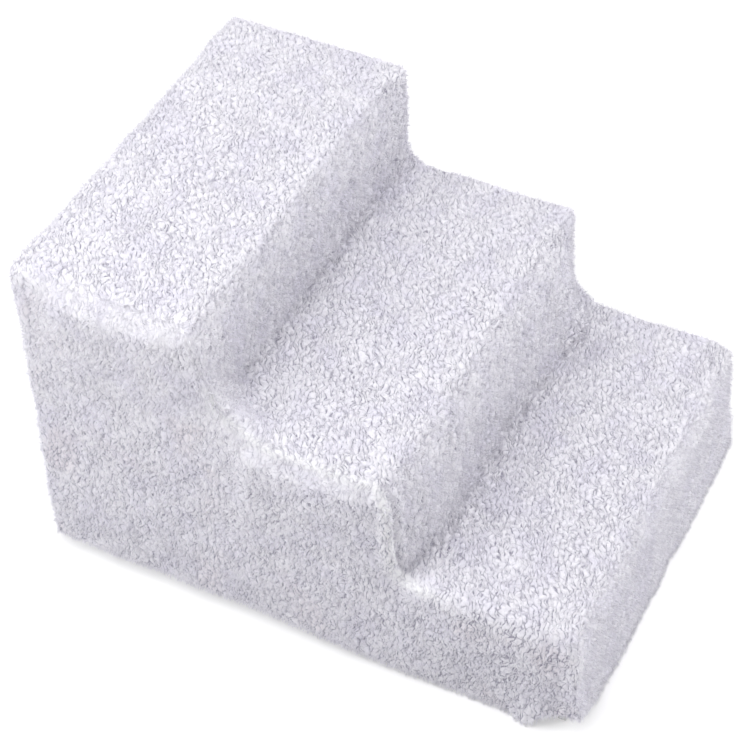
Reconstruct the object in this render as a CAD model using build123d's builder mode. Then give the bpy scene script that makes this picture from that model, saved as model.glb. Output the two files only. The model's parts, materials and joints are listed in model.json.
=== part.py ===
"""Three-step pet stairs: a knock-down plastic frame under a lift-off fleece cover.

X runs across the stairs, -Y is the front where the lowest step is, +Y is the back and
+Z is up. The origin is on the floor under the middle of the stairs. Sizes are in mm.
"""

from build123d import *
import os

os.makedirs("parts", exist_ok=True)

# Driving sizes of the whole stairs
overall_width = 340.0
step_going = 150.0
step_rise = 96.0
foot_height = 3.5
step_names = ("lower", "middle", "upper")
step_count = len(step_names)
top_step = step_count - 1

# Fleece cover
fleece_thickness = 8.0
cover_clearance = 0.5
crease_radius = 20.0
cover_edge_radius = 12.0
edge_limit_share = 0.9
hem_height = 1.5
hem_radius = 3.5
hem_limit_share = 0.45

# Hook-and-loop strips that hold the cover down
strip_thickness = 1.2
strip_height = 20.0
strip_length = 300.0
strip_rise = 8.0
strip_corner = 3.0
strip_fit = 0.3

# Moulded tread, riser and back panels
panel_thickness = 3.0
panel_fit = 0.5
bend_radius = 2.5
lip_depth = 14.0
panel_rib_thickness = 2.0
panel_columns = 7
tread_rib_depth = 12.0
tread_rows = 4
riser_rib_depth = 8.0
riser_rows = 3
back_rows = 6
back_window_border = 7.0
back_window_radius = 6.0

# Moulded side frames
side_depth = 16.0
web_thickness = 3.0
rim_thickness = 3.0
rib_thickness = 2.0
cells_per_going = 4
rows_per_rise = 2
window_border = 7.0
window_radius = 5.0
side_nose_radius = 4.0

# Steel support tubes and their sockets
tube_diameter = 16.0
tube_wall = 1.0
tube_seat_gap = 0.3
tube_end_gap = 0.5
socket_clearance = 0.2
socket_wall = 2.8

# Push-in clips
clip_shank_radius = 2.5
clip_hole_clearance = 0.1
clip_head_radius = 4.5
clip_head_thickness = 1.2
clip_head_bevel = 0.4
clip_head_recess = 1.4
clip_head_clearance = 0.2
clip_barb_radius = 3.2
clip_barb_gap = 0.2
clip_barb_length = 4.0
clip_tip_radius = 1.2

# Rubber feet
foot_length = 26.0
foot_corner = 4.0
foot_bevel = 0.8
foot_neck_radius = 2.5
foot_barb_radius = 3.2
foot_barb_gap = 0.2
foot_barb_length = 4.0
foot_tip_radius = 1.4

# How far a cutting shape runs past what it cuts
overrun = 1.0

# Sizes that follow from those above
cover_gap = fleece_thickness + cover_clearance
overall_length = step_count * step_going
frame_width = overall_width - 2 * cover_gap
frame_half_width = frame_width / 2
frame_back = overall_length / 2 - cover_gap
frame_nose_radius = bend_radius + panel_thickness
cover_nose_inside = frame_nose_radius + cover_clearance
cover_nose_radius = cover_nose_inside + fleece_thickness
cover_side_radius = min(cover_edge_radius, edge_limit_share * cover_nose_radius)
cover_hem_radius = min(hem_radius, hem_limit_share * fleece_thickness)
lining_half_width = overall_width / 2 - fleece_thickness
side_inner_half_width = frame_half_width - side_depth
pocket_width = side_depth - web_thickness
pocket_centre_x = side_inner_half_width + pocket_width / 2
rib_span = 2 * (side_inner_half_width - panel_fit)
tube_radius = tube_diameter / 2
tube_half_length = frame_half_width - web_thickness - tube_end_gap
clip_hole_radius = clip_shank_radius + clip_hole_clearance
clip_recess_radius = clip_head_radius + clip_head_clearance
upright_rib_margin = panel_fit + max(0, tread_rib_depth + panel_thickness - lip_depth)


# Places along the stairs
def riser_y(step):
    """Front face of a frame riser, or the back face of the frame past the last step."""
    if step == step_count:
        return frame_back
    return -overall_length / 2 + cover_gap + step * step_going


def tread_z(step):
    """Top face of a frame tread, or the underside of the frame for step -1."""
    return foot_height + (step + 1) * step_rise


def column_y(step, column):
    """Middle of an upright rib of the side frames, counted from the step's riser."""
    rim_middle = panel_thickness + rim_thickness / 2
    first = riser_y(step) + rim_middle
    if step == top_step:
        last = frame_back - rim_middle
    else:
        last = riser_y(step + 1) + rim_middle
    return first + column * (last - first) / cells_per_going


def row_z(level, row):
    """Middle of a level rib of the side frames, counted up from the tread below."""
    top = tread_z(level) - panel_thickness - rim_thickness / 2
    if level == 0:
        bottom = tread_z(-1) + rim_thickness / 2
    else:
        bottom = top - step_rise
    return bottom + row * (top - bottom) / rows_per_rise


def tube_place(step):
    """Axis of the tube under a tread, as (y, z)."""
    middle = (column_y(step, 0) + column_y(step, cells_per_going)) / 2
    rib_edge = tread_z(step) - panel_thickness - tread_rib_depth
    return middle, rib_edge - tube_seat_gap - tube_radius


# Outline of the stairs seen from the side
def stair_points(grow, bottom):
    """Corners of the outline as (y, z) points, moved outward by grow."""
    points = [(riser_y(0) - grow, bottom)]
    for step in range(top_step):
        points.append((riser_y(step) - grow, tread_z(step) + grow))
        points.append((riser_y(step + 1) - grow, tread_z(step) + grow))
    points.append((riser_y(top_step) - grow, tread_z(top_step) + grow))
    points.append((frame_back + grow, tread_z(top_step) + grow))
    points.append((frame_back + grow, bottom))
    return points


def stair_face(grow, bottom, nose, crease):
    """Face of the outline with rounded noses and creases."""
    radii = [0] + top_step * [nose, crease] + [nose, nose, 0]
    with BuildSketch() as outline:
        with BuildLine():
            FilletPolyline(*stair_points(grow, bottom), radius=radii, close=True)
        make_face()
    return outline.sketch


# Where the clips go: each plane lies on a panel's outer face and looks outward
across = (1, 0, 0)


def tread_clip_planes(step, sides=(-1, 1)):
    """Clips in the first and last cell of a tread, over the side frames."""
    planes = []
    for side in sides:
        for column in (0, cells_per_going - 1):
            y = (column_y(step, column) + column_y(step, column + 1)) / 2
            planes.append(Plane(origin=(side * pocket_centre_x, y, tread_z(step))))
    return planes


def row_middle(level, row):
    """Height of the middle of a row of cells in the side frames."""
    return (row_z(level, row) + row_z(level, row + 1)) / 2


def riser_clip_planes(step, sides=(-1, 1)):
    """Clips in every row of cells behind a riser, in front of the side frames."""
    planes = []
    for side in sides:
        for row in range(rows_per_rise):
            place = (side * pocket_centre_x, riser_y(step), row_middle(step, row))
            planes.append(Plane(origin=place, x_dir=across, z_dir=(0, -1, 0)))
    return planes


def back_clip_planes(sides=(-1, 1)):
    """Clips in the highest row of cells of each rise, behind the side frames."""
    planes = []
    for side in sides:
        for level in range(step_count):
            height = row_middle(level, rows_per_rise - 1)
            place = (side * pocket_centre_x, frame_back, height)
            planes.append(Plane(origin=place, x_dir=across, z_dir=(0, 1, 0)))
    return planes


def foot_places(side):
    """Middle of the front and the rear foot of one side, as (x, y)."""
    front = (column_y(0, 0) + column_y(0, 1)) / 2
    last = cells_per_going
    rear = (column_y(top_step, last - 1) + column_y(top_step, last)) / 2
    return [(side * pocket_centre_x, front), (side * pocket_centre_x, rear)]


def write_piece(piece, name):
    """Label a finished piece and write it as its own file."""
    piece.label = name
    export_step(piece, f"parts/{name}.step")


# Side frames: an outer web with a rim and a grid of ribs on its inner side
def side_rib_face():
    """Crossing ribs and tube sockets of a side frame."""
    length = frame_back - riser_y(0)
    height = tread_z(top_step) - tread_z(-1)
    middle_z = tread_z(-1) + height / 2
    with BuildSketch() as ribs:
        for step in range(step_count):
            uprights = [column_y(step, column) for column in range(cells_per_going)]
            with Locations(*[(y, middle_z) for y in uprights]):
                Rectangle(rib_thickness, height)
            levels = [row_z(step, row) for row in range(rows_per_rise)]
            with Locations(*[(0, z) for z in levels]):
                Rectangle(length, rib_thickness)
        with Locations(*[tube_place(step) for step in range(step_count)]):
            Circle(tube_radius + socket_clearance + socket_wall)
            Circle(tube_radius + socket_clearance, mode=Mode.SUBTRACT)
        add(
            stair_face(-panel_thickness, tread_z(-1), side_nose_radius, 0),
            mode=Mode.INTERSECT,
        )
    return ribs.sketch


def side_window_face():
    """Windows in the cells between the lowest row and the row under each tread."""
    with BuildSketch() as windows:
        for step in range(1, step_count):
            rows = [(level, row) for level in range(step + 1) for row in range(rows_per_rise)]
            for column in range(cells_per_going):
                left = column_y(step, column)
                right = column_y(step, column + 1)
                width = right - left - rib_thickness - 2 * window_border
                for level, row in rows[1:-1]:
                    rise = row_z(level, row + 1) - row_z(level, row)
                    height = rise - rib_thickness - 2 * window_border
                    with Locations(((left + right) / 2, row_middle(level, row))):
                        RectangleRounded(width, height, window_radius)
    return windows.sketch


with BuildPart() as side_frame:
    with BuildSketch(Plane.YZ.offset(frame_half_width - web_thickness)) as web:
        add(stair_face(-panel_thickness, tread_z(-1), side_nose_radius, 0))
        add(side_window_face(), mode=Mode.SUBTRACT)
    extrude(amount=web_thickness)
    with BuildSketch(Plane.YZ.offset(side_inner_half_width)) as rim:
        add(stair_face(-panel_thickness, tread_z(-1), side_nose_radius, 0))
        add(
            stair_face(
                -panel_thickness - rim_thickness, tread_z(-1) + rim_thickness, 0, 0
            ),
            mode=Mode.SUBTRACT,
        )
    extrude(amount=side_depth)
    with BuildSketch(Plane.YZ.offset(side_inner_half_width)) as ribs:
        add(side_rib_face())
    extrude(amount=pocket_width)
    with BuildSketch(Plane.YZ.offset(frame_half_width - strip_thickness)) as recess:
        with Locations((0, tread_z(-1) + strip_rise + strip_height / 2)):
            RectangleRounded(
                strip_length + 2 * strip_fit,
                strip_height + 2 * strip_fit,
                strip_corner + strip_fit,
            )
    extrude(amount=strip_thickness + overrun, mode=Mode.SUBTRACT)
    clip_planes = back_clip_planes(sides=(1,))
    for step in range(step_count):
        clip_planes += tread_clip_planes(step, sides=(1,))
        clip_planes += riser_clip_planes(step, sides=(1,))
    with Locations(*clip_planes):
        Hole(radius=clip_hole_radius, depth=panel_thickness + rim_thickness + overrun)
    foot_planes = [
        Plane(origin=(x, y, tread_z(-1)), z_dir=(0, 0, -1)) for x, y in foot_places(1)
    ]
    with Locations(*foot_planes):
        Hole(radius=foot_neck_radius + clip_hole_clearance, depth=rim_thickness + overrun)
write_piece(side_frame.part, "side_frame_right")

with BuildPart() as left_side_frame:
    add(side_frame.part)
    mirror(about=Plane.YZ, mode=Mode.REPLACE)
write_piece(left_side_frame.part, "side_frame_left")


# Tread, riser and back panels
def cell_pitch(width, height, columns, rows):
    """Distances between the ribs that part a rectangle into columns and rows."""
    return (width - panel_rib_thickness) / columns, (height - panel_rib_thickness) / rows


def rib_face(width, height, columns, rows):
    """Crossing ribs that fill a width by height rectangle."""
    across_pitch, up_pitch = cell_pitch(width, height, columns, rows)
    with BuildSketch() as ribs:
        Rectangle(width, height)
        with GridLocations(across_pitch, up_pitch, columns, rows):
            Rectangle(
                across_pitch - panel_rib_thickness,
                up_pitch - panel_rib_thickness,
                mode=Mode.SUBTRACT,
            )
    return ribs.sketch


def window_face(width, height, columns, rows):
    """Windows in the middle of the cells of the same ribs."""
    across_pitch, up_pitch = cell_pitch(width, height, columns, rows)
    border = panel_rib_thickness + 2 * back_window_border
    with BuildSketch() as windows:
        with GridLocations(across_pitch, up_pitch, columns, rows):
            RectangleRounded(across_pitch - border, up_pitch - border, back_window_radius)
    return windows.sketch


def upright_plane(y, z, inward):
    """Plane across the stairs whose normal points along +Y or -Y, as inward says."""
    return Plane(origin=(0, y, z), x_dir=across, z_dir=(0, inward, 0))


def cut_clip_holes(planes):
    """Holes for clips with their heads sunk below the panel's outer face."""
    with Locations(*planes):
        CounterBoreHole(
            radius=clip_hole_radius,
            counter_bore_radius=clip_recess_radius,
            counter_bore_depth=clip_head_recess,
            depth=panel_thickness + overrun,
        )


def tread_section(step):
    """Bent plate of a tread: a front lip on each, and a rear lip on the highest."""
    front = riser_y(step)
    top = tread_z(step)
    under = top - panel_thickness
    lip = top - lip_depth
    points = [(front + panel_thickness, lip), (front, lip), (front, top)]
    radii = [0, 0, frame_nose_radius]
    if step == top_step:
        back = frame_back
        points += [(back, top), (back, lip), (back - panel_thickness, lip)]
        radii += [frame_nose_radius, 0, 0]
        points += [(back - panel_thickness, under), (front + panel_thickness, under)]
        radii += [bend_radius, bend_radius]
    else:
        back = riser_y(step + 1) + panel_thickness
        points += [(back, top), (back, under), (front + panel_thickness, under)]
        radii += [0, 0, bend_radius]
    with BuildSketch() as section:
        with BuildLine():
            FilletPolyline(*points, radius=radii, close=True)
        make_face()
    return section.sketch


for step, step_name in enumerate(step_names):
    rib_front = riser_y(step) + panel_thickness
    if step == top_step:
        rib_back = frame_back - panel_thickness
    else:
        rib_back = riser_y(step + 1) - panel_fit
    rib_bottom = tread_z(step) - panel_thickness - tread_rib_depth
    rib_plane = Plane(origin=(0, (rib_front + rib_back) / 2, rib_bottom))
    with BuildPart() as tread_panel:
        with BuildSketch(Plane.YZ) as plate:
            add(tread_section(step))
        extrude(amount=frame_half_width, both=True)
        with BuildSketch(rib_plane) as ribs:
            add(rib_face(rib_span, rib_back - rib_front, panel_columns, tread_rows))
        extrude(amount=tread_rib_depth)
        cut_clip_holes(tread_clip_planes(step))
    write_piece(tread_panel.part, f"tread_panel_{step_name}")

    riser_bottom = tread_z(step - 1)
    riser_height = tread_z(step) - lip_depth - riser_bottom
    riser_middle = riser_bottom + riser_height / 2
    riser_rib_height = riser_height - 2 * upright_rib_margin
    riser_plane = upright_plane(riser_y(step), riser_middle, 1)
    with BuildPart() as riser_panel:
        with BuildSketch(riser_plane) as plate:
            Rectangle(frame_width, riser_height)
        extrude(amount=panel_thickness)
        with BuildSketch(riser_plane.offset(panel_thickness)) as ribs:
            add(rib_face(rib_span, riser_rib_height, panel_columns, riser_rows))
        extrude(amount=riser_rib_depth)
        cut_clip_holes(riser_clip_planes(step))
    write_piece(riser_panel.part, f"riser_panel_{step_name}")

back_height = tread_z(top_step) - lip_depth - tread_z(-1)
back_middle = tread_z(-1) + back_height / 2
back_rib_height = back_height - 2 * upright_rib_margin
back_plane = upright_plane(frame_back, back_middle, -1)
with BuildPart() as back_panel:
    with BuildSketch(back_plane) as plate:
        Rectangle(frame_width, back_height)
        add(
            window_face(rib_span, back_rib_height, panel_columns, back_rows),
            mode=Mode.SUBTRACT,
        )
    extrude(amount=panel_thickness)
    with BuildSketch(back_plane.offset(panel_thickness)) as ribs:
        add(rib_face(rib_span, back_rib_height, panel_columns, back_rows))
    extrude(amount=riser_rib_depth)
    cut_clip_holes(back_clip_planes())
write_piece(back_panel.part, "back_panel")

# Steel tubes that carry the treads between the side frames
for step, step_name in enumerate(step_names):
    with BuildPart() as support_tube:
        with BuildSketch(Plane.YZ) as ring:
            with Locations(tube_place(step)):
                Circle(tube_radius)
                Circle(tube_radius - tube_wall, mode=Mode.SUBTRACT)
        extrude(amount=tube_half_length, both=True)
    write_piece(support_tube.part, f"support_tube_{step_name}")


# Studs with a barb, turned about Z: both go through a rim and stop at its far side
def stud_points(neck_radius, barb_radius, tip_radius, barb_z, tip_z):
    """Half section of a stud from its neck to its tip, as (radius, z)."""
    return [
        (neck_radius, barb_z),
        (barb_radius, barb_z),
        (tip_radius, tip_z),
        (0, tip_z),
    ]


# Push-in clips, with z counted from the outer face of the panel
head_under = -clip_head_recess
head_top = head_under + clip_head_thickness
clip_barb_z = -panel_thickness - rim_thickness - clip_barb_gap
clip_tip_z = clip_barb_z - clip_barb_length
with BuildPart() as clip:
    with BuildSketch(Plane.XZ) as half_section:
        with BuildLine():
            Polyline(
                (0, head_top),
                (clip_head_radius - clip_head_bevel, head_top),
                (clip_head_radius, head_top - clip_head_bevel),
                (clip_head_radius, head_under),
                (clip_shank_radius, head_under),
                *stud_points(
                    clip_shank_radius,
                    clip_barb_radius,
                    clip_tip_radius,
                    clip_barb_z,
                    clip_tip_z,
                ),
                close=True,
            )
        make_face()
    revolve(axis=Axis.Z)

clip_groups = {
    "tread_clips": [p for step in range(step_count) for p in tread_clip_planes(step)],
    "riser_clips": [p for step in range(step_count) for p in riser_clip_planes(step)],
    "back_panel_clips": back_clip_planes(),
}
for group_name, planes in clip_groups.items():
    with BuildPart() as clip_group:
        with Locations(*planes):
            add(clip.part)
    write_piece(clip_group.part, group_name)

# Rubber feet, held by a stud in the bottom rim of the side frames
foot_barb_z = foot_height + rim_thickness + foot_barb_gap
foot_tip_z = foot_barb_z + foot_barb_length
with BuildPart() as foot:
    with BuildSketch() as pad:
        RectangleRounded(pocket_width, foot_length, foot_corner)
    extrude(amount=foot_height)
    chamfer(faces().sort_by(Axis.Z)[0].edges(), length=foot_bevel)
    with BuildSketch(Plane.XZ) as half_section:
        with BuildLine():
            Polyline(
                (0, foot_height),
                (foot_neck_radius, foot_height),
                *stud_points(
                    foot_neck_radius,
                    foot_barb_radius,
                    foot_tip_radius,
                    foot_barb_z,
                    foot_tip_z,
                ),
                close=True,
            )
        make_face()
    revolve(axis=Axis.Z)

for side, side_name in ((-1, "left"), (1, "right")):
    for (x, y), end_name in zip(foot_places(side), ("front", "rear")):
        with BuildPart() as placed_foot:
            with Locations((x, y)):
                add(foot.part)
        write_piece(placed_foot.part, f"foot_{end_name}_{side_name}")


# Hook strips on the frame and loop strips in the cover
def strip_face():
    """Outline of a strip, along Y and Z."""
    with BuildSketch() as strip:
        with Locations((0, tread_z(-1) + strip_rise + strip_height / 2)):
            RectangleRounded(strip_length, strip_height, strip_corner)
    return strip.sketch


for side, side_name in ((-1, "left"), (1, "right")):
    with BuildPart() as hook_strip:
        with BuildSketch(Plane.YZ.offset(side * frame_half_width)) as strip:
            add(strip_face())
        extrude(amount=-side * strip_thickness)
    write_piece(hook_strip.part, f"hook_strip_{side_name}")

    with BuildPart() as loop_strip:
        with BuildSketch(Plane.YZ.offset(side * lining_half_width)) as strip:
            add(strip_face())
        extrude(amount=side * strip_thickness)
    write_piece(loop_strip.part, f"loop_strip_{side_name}")

# Fleece cover: one rounded shell, open below, then parted along its seams
with BuildPart() as cover:
    with BuildSketch(Plane.YZ) as outline:
        add(stair_face(cover_gap, hem_height, cover_nose_radius, crease_radius))
    extrude(amount=overall_width / 2, both=True)
    side_faces = faces().filter_by(Axis.X).sort_by(Axis.X)
    side_edges = side_faces[0].edges() + side_faces[-1].edges()
    hem_edges = faces().sort_by(Axis.Z)[0].edges()
    fillet([edge for edge in side_edges if edge not in hem_edges], cover_side_radius)
    fillet(faces().sort_by(Axis.Z)[0].edges(), cover_hem_radius)
    with BuildSketch(Plane.YZ) as hollow:
        add(
            stair_face(
                cover_clearance,
                hem_height - overrun,
                cover_nose_inside,
                crease_radius + fleece_thickness,
            )
        )
    extrude(amount=lining_half_width, both=True, mode=Mode.SUBTRACT)
    for side in (-1, 1):
        with BuildSketch(Plane.YZ.offset(side * lining_half_width)) as rebate:
            add(strip_face())
        extrude(amount=side * strip_thickness, mode=Mode.SUBTRACT)

left_seam = Plane(origin=(-lining_half_width, 0, 0), z_dir=(1, 0, 0))
right_seam = Plane(origin=(lining_half_width, 0, 0), z_dir=(1, 0, 0))
back_seam = Plane(origin=(0, overall_length / 2 - fleece_thickness, 0), z_dir=(0, 1, 0))
crease_seams = [
    Plane(origin=(0, riser_y(step + 1), tread_z(step)), z_dir=(0, 1, 1))
    for step in range(top_step)
]


def cover_panel(name, cuts):
    """Write the part of the cover that lies on the kept side of each seam."""
    with BuildPart() as panel:
        add(cover.part)
        for seam, keep in cuts:
            split(bisect_by=seam, keep=keep)
    write_piece(panel.part, name)


cover_panel("cover_side_left", [(left_seam, Keep.BOTTOM)])
cover_panel("cover_side_right", [(right_seam, Keep.TOP)])
middle_band = [(left_seam, Keep.TOP), (right_seam, Keep.BOTTOM)]
cover_panel("cover_back", middle_band + [(back_seam, Keep.TOP)])
for step, step_name in enumerate(step_names):
    cuts = middle_band + [(back_seam, Keep.BOTTOM)]
    if step > 0:
        cuts.append((crease_seams[step - 1], Keep.TOP))
    if step < top_step:
        cuts.append((crease_seams[step], Keep.BOTTOM))
    cover_panel(f"cover_step_{step_name}", cuts)
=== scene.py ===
import json
import math

import bpy
import numpy as np
from mathutils import Matrix, Vector


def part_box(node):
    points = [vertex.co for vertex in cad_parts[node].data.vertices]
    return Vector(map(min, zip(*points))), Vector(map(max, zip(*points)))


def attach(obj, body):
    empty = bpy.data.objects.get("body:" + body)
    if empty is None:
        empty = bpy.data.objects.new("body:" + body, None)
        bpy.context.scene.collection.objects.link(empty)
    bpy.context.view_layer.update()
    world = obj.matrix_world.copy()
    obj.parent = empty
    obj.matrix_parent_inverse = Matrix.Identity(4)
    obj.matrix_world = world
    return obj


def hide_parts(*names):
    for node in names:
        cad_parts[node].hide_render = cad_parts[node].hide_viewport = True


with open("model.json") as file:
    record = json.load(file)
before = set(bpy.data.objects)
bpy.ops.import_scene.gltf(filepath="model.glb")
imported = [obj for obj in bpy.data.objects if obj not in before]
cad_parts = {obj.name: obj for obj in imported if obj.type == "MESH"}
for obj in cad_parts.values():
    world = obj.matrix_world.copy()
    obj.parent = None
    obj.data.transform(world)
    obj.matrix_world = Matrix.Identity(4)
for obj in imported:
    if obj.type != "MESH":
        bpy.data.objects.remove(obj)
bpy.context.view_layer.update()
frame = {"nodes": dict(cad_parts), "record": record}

MM = 0.001

# Places taken from the frame, in metres
step_names = ("lower", "middle", "upper")
half_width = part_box("cover_side_right")[1].x
cover_gap = half_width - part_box("side_frame_right")[1].x
riser_faces = [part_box(f"riser_panel_{name}")[0].y - cover_gap for name in step_names]
tread_tops = [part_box(f"tread_panel_{name}")[1].z + cover_gap for name in step_names]
back_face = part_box("back_panel")[1].y + cover_gap
hem_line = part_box("cover_back")[0].z

# Fleece sizes
cloth_thickness = cover_gap - 0.5 * MM
pile_stand = 1.6 * MM
nub_depth = 2.3 * MM
nub_size = 9.2 * MM
curl_size = 4.4 * MM
grid_size = 1.05 * MM


def camera_axes(azimuth, elevation, roll):
    """Right, up and back directions of a camera that looks at the stairs."""
    a, e, r = (math.radians(angle) for angle in (azimuth, elevation, roll))
    back = Vector((math.sin(a) * math.cos(e), -math.cos(a) * math.cos(e), math.sin(e)))
    right = (-back).cross(Vector((0, 0, 1))).normalized()
    up = right.cross(-back)
    tilted_right = right * math.cos(r) + up * math.sin(r)
    tilted_up = up * math.cos(r) - right * math.sin(r)
    return tilted_right, tilted_up, back


def add_camera():
    """The photograph's viewpoint, found from the corners of the stairs."""
    azimuth, elevation, roll = -63.04, 44.97, -1.28
    distance = 1.798
    target = Vector((0.0069, 0.0249, 0.120))
    photo_pixels = 750
    focal_pixels = 2236
    bpy.ops.object.camera_add()
    camera = bpy.context.object
    camera.name = "photo_camera"
    right, up, back = camera_axes(azimuth, elevation, roll)
    turn = Matrix((right, up, back)).transposed().to_4x4()
    camera.matrix_world = Matrix.Translation(target + back * distance) @ turn
    camera.data.sensor_width = 36
    camera.data.lens = camera.data.sensor_width * focal_pixels / photo_pixels
    camera.data.clip_start = 0.05
    camera.data.clip_end = 50
    bpy.context.scene.camera = camera


add_camera()


# Fields that vary smoothly over the cover
wave_count = 10
usual_peak = 1.6


def drift(points, wavelength, seed):
    """Smooth random field of about -1 to 1 from sine waves in random directions."""
    random = np.random.RandomState(seed)
    total = np.zeros(len(points), np.float32)
    for _ in range(wave_count):
        direction = random.normal(size=3)
        direction /= np.linalg.norm(direction)
        pace = 2 * math.pi / (wavelength * random.uniform(0.75, 1.35))
        phase = random.uniform(0, 2 * math.pi)
        total += np.sin(points @ (direction * pace).astype(np.float32) + np.float32(phase))
    return total / math.sqrt(wave_count / 2) / usual_peak


def drifts(points, wavelength, first_seed):
    """Three random fields, one for each axis."""
    return np.stack([drift(points, wavelength, first_seed + axis) for axis in range(3)], axis=1)


def ease(value, low, high):
    """Smooth climb from 0 at low to 1 at high."""
    share = np.clip((value - low) / (high - low), 0, 1)
    return share * share * (3 - 2 * share)


def bell(value, width):
    """1 at 0, about a third at the width, and fading to 0 beyond it."""
    return np.exp(-((value / width) ** 2))


def spot(points, centre, reach):
    """1 at the centre, fading to 0 over the reach along each axis."""
    away = (points - np.array(centre)) / np.array(reach)
    return np.exp(-2 * (away**2).sum(axis=1))


# The cover's outer skin, first as a grid on the sharp stairs
def grid_line(low, high):
    """Evenly spaced places from low to high, about one grid size apart."""
    return np.linspace(low, high, round((high - low) / grid_size) + 1)


def joined(lines):
    """Several grid lines end to end, with the shared ends once."""
    return np.concatenate([lines[0]] + [line[1:] for line in lines[1:]])


x_line = grid_line(-half_width, half_width)
y_parts = [grid_line(a, b) for a, b in zip(riser_faces, riser_faces[1:] + [back_face])]
z_parts = [grid_line(a, b) for a, b in zip([hem_line] + tread_tops, tread_tops)]
y_line = joined(y_parts)
z_line = joined(z_parts)
y_starts = np.cumsum([0] + [len(part) - 1 for part in y_parts])
z_starts = np.cumsum([0] + [len(part) - 1 for part in z_parts])


def runner_path():
    """Grid places (y, z) up the risers, over the treads and down the back, and where it turns."""
    path = [(0, 0)]
    turns = [0]
    for step in range(len(step_names)):
        path += [(y_starts[step], z) for z in range(z_starts[step] + 1, z_starts[step + 1] + 1)]
        turns.append(len(path) - 1)
        path += [(y, z_starts[step + 1]) for y in range(y_starts[step] + 1, y_starts[step + 1] + 1)]
        turns.append(len(path) - 1)
    path += [(y_starts[-1], z) for z in range(z_starts[-1] - 1, -1, -1)]
    turns.append(len(path) - 1)
    return np.array(path), turns


path, turns = runner_path()
seams = turns[::2] + turns[-1:]


def point_numbers(ix, iy, iz):
    """One number for each grid point, the same on every panel that meets there."""
    return (ix * len(y_line) + iy) * len(z_line) + iz


def runner_numbers(first, last):
    """Grid of point numbers for the runner from one path place to another."""
    rows = path[first:last + 1]
    columns = np.arange(len(x_line))
    return point_numbers(columns[None, :], rows[:, 0][:, None], rows[:, 1][:, None])


def grid_quads(numbers):
    """Four-cornered faces of a grid of point numbers."""
    corners = (numbers[:-1, :-1], numbers[:-1, 1:], numbers[1:, 1:], numbers[1:, :-1])
    return np.stack([corner.ravel() for corner in corners], axis=1)


def side_quads(side):
    """Faces of a side panel: the grid under the steps, looking outwards."""
    ix = 0 if side < 0 else len(x_line) - 1
    quads = []
    for step in range(len(step_names)):
        columns = np.arange(y_starts[step], y_starts[step + 1] + 1)
        rows = np.arange(z_starts[step + 1] + 1)
        quads.append(grid_quads(point_numbers(ix, columns[:, None], rows[None, :])))
    quads = np.concatenate(quads)
    return quads if side < 0 else quads[:, ::-1]


runner_nodes = [f"cover_step_{name}" for name in step_names] + ["cover_back"]
side_nodes = {"cover_side_left": -1, "cover_side_right": 1}
skins = {}
for node, first, last in zip(runner_nodes, seams, seams[1:]):
    skins[node] = grid_quads(runner_numbers(first, last))
for node, side in side_nodes.items():
    skins[node] = side_quads(side)
used, flat_index = np.unique(np.concatenate(list(skins.values())), return_inverse=True)
all_quads = flat_index.reshape(-1, 4)


def index_of(numbers):
    """Row in the list of points for each point number."""
    return np.searchsorted(used, numbers)


def sharp_places():
    """Where the grid's points lie on the sharp stairs."""
    iz = used % len(z_line)
    iy = used // len(z_line) % len(y_line)
    ix = used // (len(z_line) * len(y_line))
    return np.stack([x_line[ix], y_line[iy], z_line[iz]], axis=1).astype(np.float32)


# Rounded form of the stairs
back_radius = 7 * MM
nose_rounding = ((12 * MM, 22 * MM), (16 * MM, 42 * MM), (14 * MM, 40 * MM))
end_radius = 4 * MM


def nose_sizes(x, step):
    """How far a step's front edge is rounded, forward and down: tight at its right end."""
    tight = ease(x, half_width - 45 * MM, half_width - 5 * MM)
    return [size + (end_radius - size) * tight for size in nose_rounding[step]]


middle_crease_radius = 9 * MM
lower_left_growth, lower_right_growth = 4 * MM, 26 * MM
upper_left_growth, upper_right_growth = 49 * MM, 14 * MM


def crease_radii(x):
    """How widely the cloth bridges each inner corner, lower then upper: wider towards its ends."""
    left = 1 - ease(x + half_width, 0, 60 * MM)
    lower_right = 1 - ease(half_width - x, 0, 80 * MM)
    upper_right = 1 - ease(half_width - x, 0, 70 * MM)
    lower = middle_crease_radius + lower_left_growth * left + lower_right_growth * lower_right
    upper = middle_crease_radius + upper_left_growth * left + upper_right_growth * upper_right
    return lower, upper


def bridged(points):
    """The sharp grid drawn out to the cloth that bridges the creases, and the sides below it with it."""
    x, y, z = points.T.astype(np.float64)
    moved = points.astype(np.float64).copy()
    for face, top, radius in zip(riser_faces[1:], tread_tops[:-1], crease_radii(x)):
        nearest_y, nearest_z = np.minimum(y, face), np.maximum(z, top)
        away = np.hypot(y - nearest_y, z - nearest_z)
        to_y, to_z = face - radius - nearest_y, top + radius - nearest_z
        beside = (nearest_y > face - radius) & (nearest_z < top + radius)
        far = np.hypot(to_y, to_z)
        pull = np.where(beside, np.maximum(far - radius, 0), 0) / np.maximum(far, 1e-9)
        pull *= np.clip(1 - away / (2.2 * radius), 0, 1) ** 2
        moved[:, 1] += pull * to_y
        moved[:, 2] += pull * to_z
    return moved.astype(np.float32)


def step_box(y, z, forward, down, face, top):
    """Distance outside the block under one tread, with its front and back top edges rounded."""
    before = face + forward - y
    above = z - top + down
    share = np.maximum(np.hypot(before / forward, above / down), 1e-6)
    steepness = np.hypot(before / forward**2, above / down**2) / share
    rounded = (share - 1) / np.maximum(steepness, 1e-6)
    front = np.where((before > 0) & (above > 0), rounded, np.maximum(before - forward, above - down))
    over_back = y - back_face + back_radius
    over_top = z - top + back_radius
    back = np.hypot(np.maximum(over_back, 0), np.maximum(over_top, 0))
    back += np.minimum(np.maximum(over_back, over_top), 0) - back_radius
    return np.maximum(front, back)


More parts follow.
